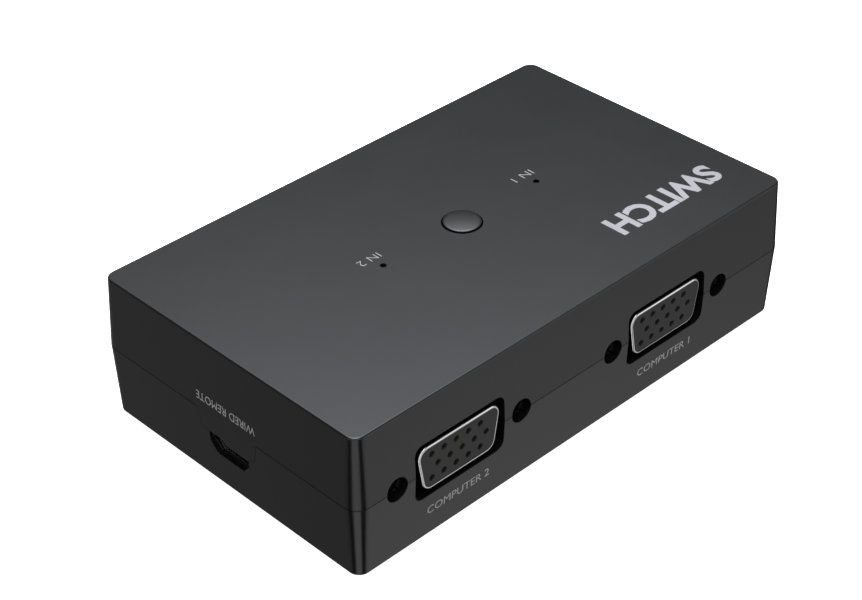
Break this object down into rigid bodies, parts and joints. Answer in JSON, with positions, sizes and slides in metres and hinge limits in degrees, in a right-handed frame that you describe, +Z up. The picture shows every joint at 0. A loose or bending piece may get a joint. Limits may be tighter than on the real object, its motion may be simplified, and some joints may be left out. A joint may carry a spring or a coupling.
{
  "type": "kvm switch",
  "caption": "Flat moulded box with a domed push button and indicator holes on top, recessed D-sub video sockets on its long sides and USB sockets on three sides.",
  "frame": {"origin": "on the surface that the rubber feet stand on, under the centre of the case", "axes": "+Z up through the button; +X along the long side towards the two computer USB sockets; -Y faces the side with the two computer video sockets"},
  "size_m": [0.0943, 0.0564, 0.0257],
  "materials": {
    "case_plastic": "moulded ABS with a fine satin spark-eroded texture, near black grey",
    "button_plastic": "satin-gloss moulded plastic, slightly lighter than the case",
    "foot_rubber": "soft black rubber, matte",
    "nickel_plate": "stamped or turned metal, bright nickel plate",
    "video_insulator": "dark grey glass-filled plastic, matte",
    "socket_plastic": "black glass-filled plastic, matte",
    "spring_steel": "stamped stainless steel",
    "screw_zinc": "zinc-plated steel",
    "board_laminate": "glass-epoxy laminate under green solder mask",
    "chip_plastic": "black epoxy packages",
    "can_metal": "drawn metal cans",
    "clear_plastic": "clear acrylic light pipe",
    "led_package": "white LED package with a clear lens"
  },
  "bodies": {
    "case": {"upper_case": "case_plastic", "lower_case": "case_plastic", "circuit_board": "board_laminate", "case_screw_1": "screw_zinc", "case_screw_2": "screw_zinc", "case_screw_3": "screw_zinc", "case_screw_4": "screw_zinc", "board_screw_1": "screw_zinc", "board_screw_2": "screw_zinc", "board_screw_3": "screw_zinc", "rubber_foot_1": "foot_rubber", "rubber_foot_2": "foot_rubber", "rubber_foot_3": "foot_rubber", "rubber_foot_4": "foot_rubber", "video_input_1_shell": "nickel_plate", "video_input_1_jack_nut_left": "nickel_plate", "video_input_1_jack_nut_right": "nickel_plate", "video_input_1_insulator": "video_insulator", "video_input_2_shell": "nickel_plate", "video_input_2_jack_nut_left": "nickel_plate", "video_input_2_jack_nut_right": "nickel_plate", "video_input_2_insulator": "video_insulator", "video_output_shell": "nickel_plate", "video_output_jack_nut_left": "nickel_plate", "video_output_jack_nut_right": "nickel_plate", "video_output_insulator": "video_insulator", "usb_device_1_shell": "nickel_plate", "usb_device_1_tongue": "socket_plastic", "usb_device_2_shell": "nickel_plate", "usb_device_2_tongue": "socket_plastic", "usb_device_3_shell": "nickel_plate", "usb_device_3_tongue": "socket_plastic", "usb_computer_1_shell": "nickel_plate", "usb_computer_1_core": "socket_plastic", "usb_computer_2_shell": "nickel_plate", "usb_computer_2_core": "socket_plastic", "remote_socket_shell": "nickel_plate", "remote_socket_tongue": "socket_plastic", "tact_switch_base": "socket_plastic", "tact_switch_cover": "spring_steel", "tact_switch_dome": "spring_steel", "light_pipe_1": "clear_plastic", "light_pipe_2": "clear_plastic", "indicator_led_1": "led_package", "indicator_led_2": "led_package", "video_switch_chip": "chip_plastic", "usb_hub_chip": "chip_plastic", "controller_chip": "chip_plastic", "voltage_regulator": "chip_plastic", "clock_crystal": "can_metal", "supply_capacitor": "can_metal", "output_capacitor": "can_metal"},
    "button": {"button_cap": "button_plastic"},
    "plunger": {"tact_switch_plunger": "socket_plastic"}
  },
  "joints": [
    {"name": "button_press", "type": "slide", "parent": "case", "child": "button", "axis": [0, 0, -1], "range_m": [0, 0.0004], "stiffness_N_per_m": 300},
    {"name": "plunger_press", "type": "slide", "parent": "case", "child": "plunger", "axis": [0, 0, -1], "range_m": [0, 0.0004], "deforming": ["tact_switch_dome"]}
  ],
  "couplings": [
    {"joint": "plunger_press", "follows": "button_press", "ratio": 1}
  ]
}
